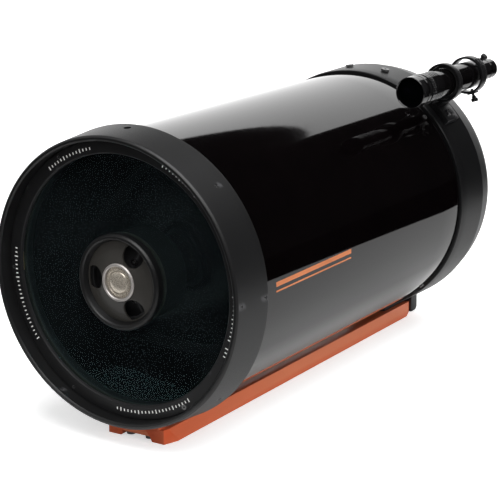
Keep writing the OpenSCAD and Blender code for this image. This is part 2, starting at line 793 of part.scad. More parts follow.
front_cell();
corrector_retaining_ring();
retaining_ring_screws();
corrector_plate();
corrector_gaskets();
corrector_edge_shims();
front_tube_screws();
front_cell_grub_screws();
lip_grub_screws();
optical_tube();
rear_cell();
rear_tube_screws();
rear_plug_screws();
primary_baffle_tube();
baffle_lock_ring();
primary_mirror();
mirror_cork_ring();
mirror_carrier();
mirror_clamp_ring();
focus_nut();
focus_screw();
focus_thrust_bearing();
focus_retainer_plate();
focus_plate_screws();
focus_knob_core();
focus_knob_grip();
secondary_housing();
secondary_gaskets();
secondary_baffle_cup();
secondary_cover();
secondary_cap_ring();
secondary_cap();
secondary_pivot();
secondary_plate();
secondary_mirror();
collimation_screw(cover_angles[0]);  // collimation_screw_1
collimation_screw(cover_angles[1]);  // collimation_screw_2
collimation_screw(cover_angles[2]);  // collimation_screw_3
dovetail_bar();
dovetail_front_block();
dovetail_bolts();
visual_back();
visual_back_slip_ring();
visual_back_screw_shank();
visual_back_screw_knob();
finder_bracket();
finder_bracket_screws();
finder_o_ring();
finder_barrel();
finder_objective_cell();
finder_objective_lens();
finder_lock_ring();
finder_eyepiece();
finder_reticle();
finder_screw_shank(0);  // finder_screw_1_shank
finder_screw_knob(0);  // finder_screw_1_knob
finder_screw_shank(1);  // finder_screw_2_shank
finder_screw_knob(1);  // finder_screw_2_knob
finder_screw_shank(2);  // finder_screw_3_shank
finder_screw_knob(2);  // finder_screw_3_knob
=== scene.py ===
"""Looks for a Schmidt-Cassegrain telescope tube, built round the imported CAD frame.

Round pieces are turned about the optical axis or the finder's axis. Lengths are in millimetres:
z runs along the tube from its front lip, r is the distance from the axis, and an angle starts at
the top and grows towards +X.
"""
import json
import math

import bmesh
import bpy
from mathutils import Matrix, Vector

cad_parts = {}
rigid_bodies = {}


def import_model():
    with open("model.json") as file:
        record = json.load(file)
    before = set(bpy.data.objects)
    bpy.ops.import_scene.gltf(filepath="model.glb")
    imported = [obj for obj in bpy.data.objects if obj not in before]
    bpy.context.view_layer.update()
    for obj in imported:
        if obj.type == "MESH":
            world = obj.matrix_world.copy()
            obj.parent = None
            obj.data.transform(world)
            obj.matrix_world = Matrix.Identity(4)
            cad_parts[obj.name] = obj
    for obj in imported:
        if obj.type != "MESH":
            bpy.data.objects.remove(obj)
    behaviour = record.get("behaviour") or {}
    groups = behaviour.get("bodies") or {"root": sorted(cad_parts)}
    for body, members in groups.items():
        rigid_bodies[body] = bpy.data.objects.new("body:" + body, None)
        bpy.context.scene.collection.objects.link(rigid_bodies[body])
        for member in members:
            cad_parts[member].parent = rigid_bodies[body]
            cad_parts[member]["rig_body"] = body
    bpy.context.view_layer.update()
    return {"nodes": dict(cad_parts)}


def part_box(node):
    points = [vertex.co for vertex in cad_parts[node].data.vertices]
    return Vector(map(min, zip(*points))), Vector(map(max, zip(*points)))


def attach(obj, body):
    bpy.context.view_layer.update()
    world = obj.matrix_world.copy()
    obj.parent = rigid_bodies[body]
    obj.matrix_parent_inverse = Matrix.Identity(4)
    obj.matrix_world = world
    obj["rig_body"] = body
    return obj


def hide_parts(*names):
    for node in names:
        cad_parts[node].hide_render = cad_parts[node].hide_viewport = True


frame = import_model()
NODES = frame["nodes"]
MM = 0.001
ROOT = "tube_assembly"


# ---------- places taken from the frame ----------

def middle(name):
    """The middle of a node's box."""
    low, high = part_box(name)
    return (low + high) / 2


def z_span(name):
    """A node's front and back along the tube, in mm behind the lip."""
    low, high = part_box(name)
    return (low.y - LIP_Y) / MM, (high.y - LIP_Y) / MM


def radius_of(name):
    """A round node's radius in mm, from the width of its box."""
    low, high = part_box(name)
    return (high.x - low.x) / 2 / MM


def place(at):
    """The matrix from turned coordinates (x, up as -y, z) in mm to the row frame in metres."""
    turn = Matrix(((1, 0, 0, 0), (0, 0, 1, 0), (0, -1, 0, 0), (0, 0, 0, 1)))
    return Matrix.Translation((at.x, LIP_Y, at.z)) @ turn @ Matrix.Scale(MM, 4)


LIP_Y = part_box("front_cell")[0].y
AXIS = middle("optical_tube")
MAIN = place(AXIS)
FOCUS = place(middle("focus_screw"))
TUBE_R = radius_of("optical_tube")
TUBE_START, TUBE_END = z_span("optical_tube")
finder_offset = middle("finder_barrel") - AXIS
FINDER_ANGLE = math.degrees(math.atan2(finder_offset.x, finder_offset.z))


def around(angle):
    """Turns a piece drawn at the top of the tube to its angle."""
    return Matrix.Rotation(math.radians(angle), 4, "Z")


def off_axis(angle, r):
    """A frame along the tube, at a radius and an angle from its axis."""
    return around(angle) @ Matrix.Translation((0, -r, 0))


def outward(angle, z):
    """A frame on the axis whose +Z points away from it at that angle."""
    stand = Matrix.Rotation(math.radians(90), 4, "X")
    return around(angle) @ Matrix.Translation((0, 0, z)) @ stand


# ---------- mesh tools ----------

SHARP = math.radians(32)               # a bend of this much or more stays a hard edge
WELD = 1e-4                            # mm
FILLET_STEPS = 5
FILLET_SHARE = 0.49                    # the most of a side that one fillet takes


def finished(name, bm, matrix, material, body=ROOT, replaces=(), weld=True):
    """Puts a bmesh drawn in turned millimetres into the scene as a smooth-shaded piece."""
    if weld:
        bmesh.ops.remove_doubles(bm, verts=bm.verts, dist=WELD)
    bmesh.ops.recalc_face_normals(bm, faces=bm.faces)
    bm.transform(matrix)
    mesh = bpy.data.meshes.new(name)
    bm.to_mesh(mesh)
    bm.free()
    obj = bpy.data.objects.new(name, mesh)
    bpy.context.scene.collection.objects.link(obj)
    smooth(obj)
    mesh.materials.append(material)
    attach(obj, body)
    if replaces:
        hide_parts(*replaces)
    return obj


def smooth(obj):
    """Shades a piece smooth, apart from its sharp edges."""
    bm = bmesh.new()
    bm.from_mesh(obj.data)
    for face in bm.faces:
        face.smooth = True
    for edge in bm.edges:
        edge.smooth = len(edge.link_faces) == 2 and edge.calc_face_angle(0) < SHARP
    bm.to_mesh(obj.data)
    bm.free()


def rounded(outline):
    """Outline points (r, z) or (r, z, fillet); a fillet becomes an arc of a few points."""
    result = []
    count = len(outline)
    for i, point in enumerate(outline):
        here = Vector(point[:2])
        radius = point[2] if len(point) > 2 else 0
        if not radius:
            result.append(here)
            continue
        before = Vector(outline[i - 1][:2]) - here
        after = Vector(outline[(i + 1) % count][:2]) - here
        half = before.angle(after) / 2
        reach = min(radius / math.tan(half), before.length * FILLET_SHARE, after.length * FILLET_SHARE)
        radius = reach * math.tan(half)
        start = here + before.normalized() * reach
        end = here + after.normalized() * reach
        inward = (before.normalized() + after.normalized()).normalized()
        centre = here + inward * radius / math.sin(half)
        for k in range(FILLET_STEPS + 1):
            arm = (start - centre).lerp(end - centre, k / FILLET_STEPS)
            result.append(centre + arm.normalized() * radius)
    return result


def lathe_into(bm, outline, segments):
    """Turns a closed outline of (r, z) points round the local Z axis."""
    rings = []
    for r, z in rounded(outline):
        if r == 0:
            rings.append([bm.verts.new((0, 0, z))])
        else:
            rings.append([bm.verts.new((r * math.sin(t), -r * math.cos(t), z))
                          for t in (2 * math.pi * k / segments for k in range(segments))])
    for one, two in zip(rings, rings[1:] + rings[:1]):
        if len(one) == 1 and len(two) == 1:
            continue
        for k in range(segments):
            n = (k + 1) % segments
            if len(one) == 1:
                bm.faces.new((one[0], two[n], two[k]))
            elif len(two) == 1:
                bm.faces.new((one[k], one[n], two[0]))
            else:
                bm.faces.new((one[k], one[n], two[n], two[k]))


def lathe(name, outline, material, at=MAIN, segments=128, **rest):
    """A turned piece, from its outline to a finished object."""
    bm = bmesh.new()
    lathe_into(bm, outline, segments)
    return finished(name, bm, at, material, **rest)


def prism_into(bm, shape, low, high, matrix=Matrix.Identity(4)):
    """A straight prism over a flat shape, from z = low to z = high."""
    bottom = [bm.verts.new(matrix @ Vector((x, y, low))) for x, y in shape]
    top = [bm.verts.new(matrix @ Vector((x, y, high))) for x, y in shape]
    bm.faces.new(bottom[::-1])
    bm.faces.new(top)
    count = len(shape)
    for k in range(count):
        n = (k + 1) % count
        bm.faces.new((bottom[k], bottom[n], top[n], top[k]))


def circle(radius, count=32):
    """The corners of a round shape."""
    step = 2 * math.pi / count
    return [(radius * math.cos(k * step), radius * math.sin(k * step)) for k in range(count)]


def merge(bm, other, matrix):
    """Adds a copy of another bmesh, moved by the matrix."""
    mesh = bpy.data.meshes.new("merge")
    other.to_mesh(mesh)
    mesh.transform(matrix)
    bm.from_mesh(mesh)
    bpy.data.meshes.remove(mesh)


def cut(obj, cutter):
    """Subtracts a bmesh, drawn in the row frame, from a piece and applies the result."""
    mesh = bpy.data.meshes.new("cutter")
    cutter.to_mesh(mesh)
    cutter.free()
    tool = bpy.data.objects.new("cutter", mesh)
    bpy.context.scene.collection.objects.link(tool)
    boolean = obj.modifiers.new("cut", "BOOLEAN")
    boolean.object = tool
    boolean.operation = "DIFFERENCE"
    boolean.solver = "EXACT"
    graph = bpy.context.evaluated_depsgraph_get()
    result = bpy.data.meshes.new_from_object(obj.evaluated_get(graph))
    obj.modifiers.remove(boolean)
    obj.data = result
    bpy.data.objects.remove(tool)
    bpy.data.meshes.remove(mesh)
    smooth(obj)


def bevelled(obj, width, segments, angle):
    """Rounds a piece's edges for good, where they bend by more than the angle in degrees."""
    bevel = obj.modifiers.new("bevel", "BEVEL")
    bevel.width = width * MM
    bevel.segments = segments
    bevel.limit_method = "ANGLE"
    bevel.angle_limit = math.radians(angle)
    bevel.use_clamp_overlap = True
    bevel.miter_outer = "MITER_ARC"
    graph = bpy.context.evaluated_depsgraph_get()
    result = bpy.data.meshes.new_from_object(obj.evaluated_get(graph))
    obj.modifiers.remove(bevel)
    obj.data = result
    smooth(obj)


# ---------- materials ----------

WEAR_START, WEAR_FULL = 0.52, 0.58     # pointiness of an edge where wear begins and is complete
FINE_SHARE = 0.25                      # how far the fine grain tints a surface
NOISE_RANGE = (0.3, 0.7)


def node(tree, kind, **values):
    """A new shader node; a value that isn't one of its inputs is set as a property."""
    made = tree.nodes.new(kind)
    for key, value in values.items():
        if key in made.inputs:
            made.inputs[key].default_value = value
        else:
            setattr(made, key, value)
    return made


def noise(tree, where, scale, detail, stretch=(1, 1, 1)):
    """A noise over the object's own coordinates, in features per metre."""
    mapping = node(tree, "ShaderNodeMapping")
    mapping.inputs["Scale"].default_value = stretch
    tree.links.new(where, mapping.inputs["Vector"])
    made = node(tree, "ShaderNodeTexNoise", Scale=scale, Detail=detail)
    tree.links.new(mapping.outputs[0], made.inputs["Vector"])
    return made.outputs["Fac"]


def calculated(tree, operation, one, two, third=None):
    """A math node over numbers and other nodes' outputs."""
    made = node(tree, "ShaderNodeMath", operation=operation)
    for socket, value in zip(made.inputs, (one, two, third)):
        if isinstance(value, bpy.types.NodeSocket):
            tree.links.new(value, socket)
        elif value is not None:
            socket.default_value = value
    return made.outputs[0]


def ranged(tree, value, source, target):
    """Maps a value from one range onto another, held at both ends."""
    made = node(tree, "ShaderNodeMapRange")
    names = ("From Min", "From Max", "To Min", "To Max")
    for name, number in zip(names, (*source, *target)):
        made.inputs[name].default_value = number
    tree.links.new(value, made.inputs["Value"])
    return made.outputs[0]


def spread(tree, value, low, high):
    """Maps the usual range of a noise onto low to high."""
    return ranged(tree, value, NOISE_RANGE, (low, high))


def mixed(tree, factor, one, two):
    """One colour fading into another; each is a triple or a node's output."""
    made = node(tree, "ShaderNodeMix", data_type="RGBA")
    tree.links.new(factor, made.inputs[0])
    for socket, value in ((made.inputs[6], one), (made.inputs[7], two)):
        if isinstance(value, tuple):
            socket.default_value = (*value, 1)
        else:
            tree.links.new(value, socket)
    return made.outputs[2]


def worn(tree, tint, wear, amount):
    """Lets a paler colour through along outward edges."""
    edge = node(tree, "ShaderNodeNewGeometry").outputs["Pointiness"]
    return mixed(tree, ranged(tree, edge, (WEAR_START, WEAR_FULL), (0, amount)), tint, wear)


def surface(name, colour, rough, metal=0.0, vary=0.12, rough_vary=0.06, grain=900.0, bump=0.1,
            depth=0.00005, stretch=(1, 1, 1), wear=None, wear_amount=0.5, blotch=25.0,
            specular=0.5):
    """A Principled surface whose colour, roughness and bump vary at two scales, with worn edges."""
    made = bpy.data.materials.new(name)
    made.use_nodes = True
    tree = made.node_tree
    shader = tree.nodes["Principled BSDF"]
    where = node(tree, "ShaderNodeTexCoord").outputs["Object"]
    broad = noise(tree, where, blotch, 4)
    fine = noise(tree, where, grain, 3, stretch)
    low = tuple(c * (1 - vary) for c in colour)
    high = tuple(min(1, c * (1 + vary)) for c in colour)
    speck = tuple(min(1, c * (1 + 2 * vary)) for c in colour)
    tint = mixed(tree, spread(tree, broad, 0, 1), low, high)
    tint = mixed(tree, spread(tree, fine, 0, FINE_SHARE), tint, speck)
    if wear:
        tint = worn(tree, tint, wear, wear_amount)
    tree.links.new(tint, shader.inputs["Base Color"])
    tree.links.new(spread(tree, fine, max(0.0, rough - rough_vary), rough + rough_vary),
                   shader.inputs["Roughness"])
    shader.inputs["Metallic"].default_value = metal
    shader.inputs["Specular IOR Level"].default_value = specular
    relief = node(tree, "ShaderNodeBump", Strength=bump, Distance=depth)
    tree.links.new(fine, relief.inputs["Height"])
    tree.links.new(relief.outputs[0], shader.inputs["Normal"])
    return made


THROUGH = 0.96                         # the light that passes one pane
COATING_IOR = 1.38
COATING_ROUGH = 0.02
FILM_DIP = 0.6                         # the coating's colour where it is thinnest
HAZE_SCALE = 18
DUST = (0.72, 0.90, 1.0)
DUST_VARIES = 0.3


def clear_glass(name, tint, film, film_amount, dust):
    """Thin coated glass: mostly see-through, a Fresnel reflection in the coating's colour, fine dust."""
    made = bpy.data.materials.new(name)
    made.use_nodes = True
    tree = made.node_tree
    tree.nodes.remove(tree.nodes["Principled BSDF"])
    haze = noise(tree, node(tree, "ShaderNodeTexCoord").outputs["Object"], HAZE_SCALE, 5)
    clear = node(tree, "ShaderNodeBsdfTransparent")
    clear.inputs["Color"].default_value = (*(c * THROUGH for c in tint), 1)
    gloss = node(tree, "ShaderNodeBsdfGlossy", Roughness=COATING_ROUGH)
    thin_film = tuple(c * FILM_DIP for c in film)
    tree.links.new(mixed(tree, spread(tree, haze, 0, 1), film, thin_film), gloss.inputs["Color"])
    fresnel = node(tree, "ShaderNodeFresnel", IOR=COATING_IOR)
    blend = node(tree, "ShaderNodeMixShader")
    tree.links.new(calculated(tree, "MULTIPLY", fresnel.outputs[0], film_amount), blend.inputs[0])
    tree.links.new(clear.outputs[0], blend.inputs[1])
    tree.links.new(gloss.outputs[0], blend.inputs[2])
    pale = node(tree, "ShaderNodeBsdfDiffuse", Color=(*DUST, 1))
    dusty = node(tree, "ShaderNodeMixShader")
    least, most = (1 - DUST_VARIES) * dust, (1 + DUST_VARIES) * dust
    tree.links.new(spread(tree, haze, least, most), dusty.inputs[0])
    tree.links.new(blend.outputs[0], dusty.inputs[1])
    tree.links.new(pale.outputs[0], dusty.inputs[2])
    tree.links.new(dusty.outputs[0], tree.nodes["Material Output"].inputs["Surface"])
    return made


GREY_WEAR = (0.10, 0.10, 0.105)
cell_paint = surface("cell_paint", (0.0055, 0.0055, 0.0058), 0.42, grain=1500, bump=0.22, depth=0.00006,
                     wear=GREY_WEAR, wear_amount=0.35, specular=0.46)
rear_paint = surface("rear_cell_paint", (0.0035, 0.0035, 0.0038), 0.38, grain=1500, bump=0.2,
                     depth=0.00006, wear=GREY_WEAR, wear_amount=0.35, specular=0.30)
tube_enamel = surface("tube_enamel", (0.0011, 0.0007, 0.0008), 0.05, rough_vary=0.012, grain=160,
                      bump=0.03, depth=0.00004, vary=0.2)
ring_satin = surface("ring_satin", (0.008, 0.008, 0.0085), 0.5, grain=1100, bump=0.12,
                     wear=GREY_WEAR, wear_amount=0.25, specular=0.3)
flat_black = surface("flat_black", (0.003, 0.003, 0.003), 0.85, grain=2500, bump=0.3, specular=0.2)
orange_anodised = surface("orange_anodised", (0.58, 0.095, 0.034), 0.42, grain=2400, bump=0.12,
                          stretch=(1, 0.03, 1), wear=(0.75, 0.30, 0.16), wear_amount=0.5, vary=0.06,
                          specular=0.2)
black_anodised = surface("black_anodised", (0.010, 0.010, 0.011), 0.3, grain=2200, bump=0.12,
                         stretch=(1, 0.05, 1), wear=GREY_WEAR, wear_amount=0.5)
finder_gloss = surface("finder_gloss", (0.0015, 0.0013, 0.0014), 0.12, rough_vary=0.03, grain=1200,
                       bump=0.05, wear=GREY_WEAR, wear_amount=0.06)
finder_satin = surface("finder_satin", (0.003, 0.003, 0.0032), 0.3, grain=1800, bump=0.12,
                       wear=GREY_WEAR, wear_amount=0.12, specular=0.35)
moulded = surface("moulded_plastic", (0.004, 0.004, 0.0044), 0.38, grain=2600, bump=0.2,
                  specular=0.35)
rubber = surface("ribbed_rubber", (0.012, 0.012, 0.012), 0.62, grain=3200, bump=0.35, vary=0.2)
gasket_sheet = surface("gasket_sheet", (0.03, 0.024, 0.02), 0.8, grain=1800, bump=0.3)
cork = surface("cork_sheet", (0.42, 0.25, 0.12), 0.85, grain=900, bump=0.5, vary=0.35)
steel = surface("turned_steel", (0.55, 0.55, 0.56), 0.24, metal=1, grain=2800, bump=0.1,
                stretch=(1, 0.1, 1))
black_steel = surface("black_oxide_steel", (0.02, 0.02, 0.021), 0.3, metal=0.6, grain=2600, bump=0.15,
                      wear=(0.3, 0.3, 0.3), wear_amount=0.4)
silver = surface("satin_silver", (0.52, 0.49, 0.47), 0.42, metal=0.7, grain=2400, bump=0.05)
brass = surface("turned_brass", (0.72, 0.50, 0.20), 0.28, metal=1, grain=2600, bump=0.1)
cast = surface("cast_aluminium", (0.42, 0.43, 0.44), 0.45, metal=1, grain=1500, bump=0.4)
mirror = surface("mirror_coating", (0.86, 0.87, 0.88), 0.015, metal=1, rough_vary=0.004, grain=300,
                 bump=0.0, vary=0.02)
dish_grey = surface("window_dish", (0.030, 0.028, 0.025), 0.45, grain=1300, bump=0.12, specular=0.4)
cream = surface("cream_disc", (0.50, 0.45, 0.38), 0.28, metal=0.6, grain=1500, bump=0.1)
white_ink = surface("white_ink", (0.80, 0.80, 0.78), 0.5, grain=2500, bump=0.1)
orange_ink = surface("orange_ink", (0.44, 0.14, 0.05), 0.45, grain=2500, bump=0.1)
corrector_glass = clear_glass("corrector_glass", (0.86, 0.95, 0.94), (0.30, 0.55, 0.60), 0.12, 0.0042)
finder_glass = clear_glass("finder_glass", (0.20, 0.18, 0.26), (0.45, 0.30, 0.75), 0.5, 0.0012)

# CAD nodes that are shown as they are; the others are replaced further down.
CARRIED = {
    flat_black: ["primary_baffle_tube", "secondary_baffle_cup"],
    gasket_sheet: ["corrector_gaskets", "secondary_gaskets"],
    cork: ["corrector_edge_shims", "mirror_cork_ring"],
    black_anodised: ["baffle_lock_ring", "mirror_clamp_ring"],
    black_steel: ["retaining_ring_screws", "front_tube_screws", "front_cell_grub_screws",
                  "lip_grub_screws", "rear_tube_screws", "rear_plug_screws", "dovetail_bolts"],
    steel: ["focus_screw", "focus_thrust_bearing", "focus_plate_screws", "secondary_pivot",
            "collimation_screw_1", "collimation_screw_2", "collimation_screw_3",
            "visual_back_screw_shank", "finder_bracket_screws", "finder_screw_1_shank",
            "finder_screw_2_shank", "finder_screw_3_shank"],
    brass: ["focus_nut"],
    cast: ["mirror_carrier", "secondary_plate"],
    mirror: ["primary_mirror", "secondary_mirror"],
    rubber: ["finder_o_ring"],
    moulded: ["focus_knob_core", "visual_back_screw_knob"],
    finder_gloss: ["finder_barrel", "finder_eyepiece", "finder_objective_cell", "finder_lock_ring"],
    finder_satin: ["finder_reticle"],
    finder_glass: ["finder_objective_lens"],
}
for finish, names in CARRIED.items():
    for name in names:
        slots = NODES[name].data.materials
        slots.clear()
        slots.append(finish)


# ---------- helpers for pieces ----------

CLEAR_OF_CELLS = 150                   # a radius well outside both cells
SAME_POINT = 1e-6
FLAT = math.radians(0.2)               # faces that meet at less than this are one face


def divided(outline, step):
    """Adds points along straight stretches longer than step, so that cuts stay local."""
    points = rounded(outline)
    result = []
    for here, there in zip(points, points[1:] + points[:1]):
        result.append(here)
        parts = int((there - here).length // step)
        result += [here.lerp(there, k / (parts + 1)) for k in range(1, parts + 1)]
    return [(p.x, p.y) for p in result]


def drill(bm, matrix, radius, low, high, count=32):
    """Adds a round tool to a cutter."""
    prism_into(bm, circle(radius, count), low, high, matrix)


def side_holes(tools, angles, z, radius, inner_r):
    """Adds round tools square to the tube's axis, from inner_r outwards."""
    for angle in angles:
        drill(tools, MAIN @ outward(angle, z), radius, inner_r, CLEAR_OF_CELLS)


def refined(name, width, material, segments=3, angle=35):
    """Stands a bevelled copy of a CAD node in its place."""
    source = NODES[name]
    bm = bmesh.new()
    bm.from_mesh(source.data)
    bmesh.ops.remove_doubles(bm, verts=bm.verts, dist=SAME_POINT)
    bmesh.ops.dissolve_limit(bm, angle_limit=FLAT, verts=bm.verts, edges=bm.edges)
    mesh = bpy.data.meshes.new(name + "_finished")
    bm.to_mesh(mesh)
    bm.free()
    if "custom_normal" in mesh.attributes:
        mesh.attributes.remove(mesh.attributes["custom_normal"])
    mesh.materials.clear()
    mesh.materials.append(material)
    obj = bpy.data.objects.new(name + "_finished", mesh)
    bpy.context.scene.collection.objects.link(obj)
    bevelled(obj, width, segments, angle)
    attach(obj, source["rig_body"])
    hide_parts(name)


# ---------- front cell and corrector ----------

CELL_R = radius_of("front_cell")
CELL_LEN = z_span("front_cell")[1]
LIP_R = CELL_R - 3.6
GLASS_FRONT, GLASS_BACK = z_span("corrector_plate")
GLASS_R = radius_of("corrector_plate")
RING_R = radius_of("corrector_retaining_ring")
RING_FRONT, RING_BACK = z_span("corrector_retaining_ring")
APERTURE_R = 117.5
SEAT = GLASS_BACK + 1
TUBE_SCREWS, TUBE_SCREW_Z = (90, 150, 210, 270), 40.2
GRUB_SCREWS, GRUB_SCREW_Z = (45, 135, 225, 315), 27
LIP_SCREWS, LIP_SCREW_Z = (90, 210, 330), 6.5
TOP_HOLE_Z = 31
RING_SCREWS = [28 + 60 * k for k in range(6)]
RING_SCREW_R = 127


def front_cell():
    """The cast ring round the corrector, with its screw holes and the countersunk hole on top."""
    body = lathe("front_cell_casting", divided([
        (131, 1.6, 0.8), (132.6, 0, 0.9), (LIP_R - 1.6, 0, 1.2), (LIP_R, 1.9, 1.4),
        (CELL_R, CELL_LEN - 1.6, 0.7), (CELL_R - 1.1, CELL_LEN, 0.4), (TUBE_R + 0.05, CELL_LEN, 0.3),
        (TUBE_R + 0.05, 30), (129.95, 30), (129.95, 40), (126, 40, 0.5), (126, 34), (119.5, 34, 0.5),
        (119.5, SEAT), (124, SEAT), (124, RING_BACK + 0.1), (131, RING_BACK + 0.1)], step=4),
        cell_paint, segments=192, replaces=["front_cell"])
    tools = bmesh.new()
    side_holes(tools, TUBE_SCREWS, TUBE_SCREW_Z, radius=2.0, inner_r=120)
    side_holes(tools, GRUB_SCREWS, GRUB_SCREW_Z, radius=1.6, inner_r=133)
    side_holes(tools, LIP_SCREWS, LIP_SCREW_Z, radius=1.3, inner_r=128)
    for angle in RING_SCREWS:
        drill(tools, MAIN @ off_axis(angle, RING_SCREW_R), radius=1.3, low=14, high=25.6)
    top = MAIN @ outward(0, TOP_HOLE_Z)
    drill(tools, top, radius=2.1, low=133.2, high=138.2)
    cut(body, tools)
    sink = bmesh.new()
    drill(sink, top, radius=3.5, low=CELL_R - 2.9, high=CLEAR_OF_CELLS, count=48)
    cut(body, sink)


def retaining_ring():
    """The flat ring that holds the corrector, with six countersunk screw holes."""
    ring = lathe("retaining_ring_face", divided([
        (APERTURE_R, RING_FRONT + 1.1, 0.3), (APERTURE_R + 1.1, RING_FRONT, 0.4),
        (RING_R - 0.5, RING_FRONT, 0.3), (RING_R, RING_FRONT + 0.5, 0.2), (RING_R, RING_BACK),
        (APERTURE_R, RING_BACK)], step=3), ring_satin, segments=192,
        replaces=["corrector_retaining_ring"])
    tools = bmesh.new()
    for angle in RING_SCREWS:
        hole = MAIN @ off_axis(angle, RING_SCREW_R)
        drill(tools, hole, radius=1.5, low=RING_FRONT - 2, high=RING_BACK + 2)
        cone = bmesh.new()
        prism_into(cone, circle(2.7), low=RING_FRONT - 2, high=RING_FRONT + 1.4)
        merge(tools, cone, hole)
        cone.free()
    cut(ring, tools)


TICK_ARCS = ((-39, -14), (24, 51), (-125, -82), (144, 185), (88, 108), (111, 116))
TICK_STEP = 1.9                        # degrees
TICK_R = 123.4
TICK_HALF_WIDTH = 0.55
TICK_REACH, LONG_REACH = 1.2, 1.9
LONG_EVERY = 5


def ring_ticks():
    """A plain graduation in white ink on the retaining ring, longer at every fifth tick."""
    bm = bmesh.new()
    for start, end in TICK_ARCS:
        count = int((end - start) / TICK_STEP)
        for k in range(count + 1):
            high = TICK_REACH if k % LONG_EVERY else LONG_REACH
            wide = TICK_HALF_WIDTH
            shape = [(-wide, -high), (wide, -high), (wide, high), (-wide, high)]
            spot = off_axis(start + k * TICK_STEP, TICK_R)
            prism_into(bm, shape, RING_FRONT - 0.06, RING_FRONT + 0.05, spot)
    finished("retaining_ring_ticks", bm, MAIN, white_ink, weld=False)


CORRECTOR_BORE_R = 37.2
GLASS_EDGE = 0.4


def corrector():
    """The glass plate, with its edges broken and a bore for the secondary."""
    edges = [(CORRECTOR_BORE_R, GLASS_FRONT), (GLASS_R, GLASS_FRONT), (GLASS_R, GLASS_BACK),
             (CORRECTOR_BORE_R, GLASS_BACK)]
    lathe("corrector_glass_plate", [(r, z, GLASS_EDGE) for r, z in edges], corrector_glass,
          segments=160, replaces=["corrector_plate"])


# ---------- secondary ----------

HOUSE_R = radius_of("secondary_housing")
HOUSE_FRONT = z_span("secondary_housing")[0]
WINDOWS = (30, 150, 270)
WINDOW_R = 11.0
WINDOW_AT = 29.5                       # a window's centre, from the housing's axis
WINDOW_REACH = 36.6                    # the arc about the axis that cuts a window off
WINDOW_STEPS = 20
COLLIMATION_R = 21


def window_shape():
    """A round window cut off by an arc about the housing's axis."""
    cosine = (WINDOW_REACH ** 2 + WINDOW_AT ** 2 - WINDOW_R ** 2) / (2 * WINDOW_REACH * WINDOW_AT)
    turn = math.acos(cosine)
    corner = Vector((WINDOW_REACH * math.sin(turn), WINDOW_REACH * math.cos(turn) - WINDOW_AT))
    reach = math.atan2(corner.x, corner.y)
    outer = [turn * (2 * k / WINDOW_STEPS - 1) for k in range(WINDOW_STEPS)]
    inner = [reach + (2 * math.pi - 2 * reach) * k / WINDOW_STEPS for k in range(WINDOW_STEPS)]
    return ([(WINDOW_REACH * math.sin(t), -WINDOW_REACH * math.cos(t)) for t in outer]
            + [(WINDOW_R * math.sin(t), -WINDOW_AT - WINDOW_R * math.cos(t)) for t in inner])


def secondary_housing():
    """The ring round the secondary, with holes for the collimation screws."""
    body = lathe("secondary_housing_ring", [
        (37.9, HOUSE_FRONT + 7, 1.0), (HOUSE_R - 5.2, HOUSE_FRONT + 1.4, 0.8),
        (HOUSE_R - 4, HOUSE_FRONT, 1.0), (HOUSE_R - 1.8, HOUSE_FRONT, 1.4),
        (HOUSE_R, HOUSE_FRONT + 2.4, 1.6), (HOUSE_R, GLASS_FRONT - 0.6, 0.4), (37, GLASS_FRONT - 0.6),
        (37, 30), (34, 30), (34, 27.5), (5, 27.5, 0.6), (5, 29.8, 0.6), (2.7, 29.8), (2.7, 23.5),
        (34, 23.5, 1), (34, 18), (38, 18)], cell_paint, segments=144, replaces=["secondary_housing"])
    tools = bmesh.new()
    for angle in WINDOWS:
        drill(tools, MAIN @ off_axis(angle, COLLIMATION_R), radius=1.8, low=20, high=32)
    cut(body, tools)


def secondary_dish():
    """The sloping cover, with a window over each collimation screw."""
    dish = lathe("secondary_window_dish", divided([
        (16.2, 11.2, 0.5), (18.8, 11.3, 1.5), (30, 14.6, 4), (37.9, 15.6, 0.3), (37.9, 17.4),
        (30, 16.6, 3), (18.5, 14, 1), (16.2, 14)], step=2.5), dish_grey, segments=144,
        replaces=["secondary_cover"])
    tools = bmesh.new()
    for angle in WINDOWS:
        prism_into(tools, window_shape(), low=5, high=25, matrix=MAIN @ around(angle))
    cut(dish, tools)
    bevelled(dish, width=0.35, segments=2, angle=50)


def secondary_cap():
    """The cream disc in the middle and the silver ring round it."""
    lathe("secondary_silver_ring", [
        (14.9, 13.9), (14.9, 10, 0.4), (15.5, 9.2, 0.5), (16.9, 9.2, 0.7), (17.8, 10.3, 0.5),
        (17.8, 11.15), (16.15, 11.15), (16.15, 13.9)], silver, replaces=["secondary_cap_ring"])
    lathe("secondary_cream_cap", [
        (0, 8.9), (4.5, 9.15), (8, 9.9), (9.6, 10.6, 0.8), (10.4, 11.6, 0.4), (11.3, 11.6, 0.4),
        (11.8, 10.6, 0.5), (12.6, 10.6, 0.5), (13.1, 12, 0.4), (14.8, 12.4, 0.3), (14.8, 15), (0, 15)],
        cream, replaces=["secondary_cap"])


# ---------- main tube ----------

WALL = 1.6
TUBE_RIM = 0.5
STRIPES = ((88.6, 2.2), (91.4, 0.8))   # middle angle, half height in mm
STRIPE_FRONT, STRIPE_BACK = 70, 204
STRIPE_STEPS = 8


def tube():
    """The enamelled tube, sharp in front and with its back edges broken."""
    inner_r = TUBE_R - WALL
    lathe("tube_shell", divided([
        (inner_r, TUBE_START), (TUBE_R, TUBE_START), (TUBE_R, TUBE_END, TUBE_RIM),
        (inner_r, TUBE_END, TUBE_RIM)], step=40), tube_enamel, segments=256,
        replaces=["optical_tube"])


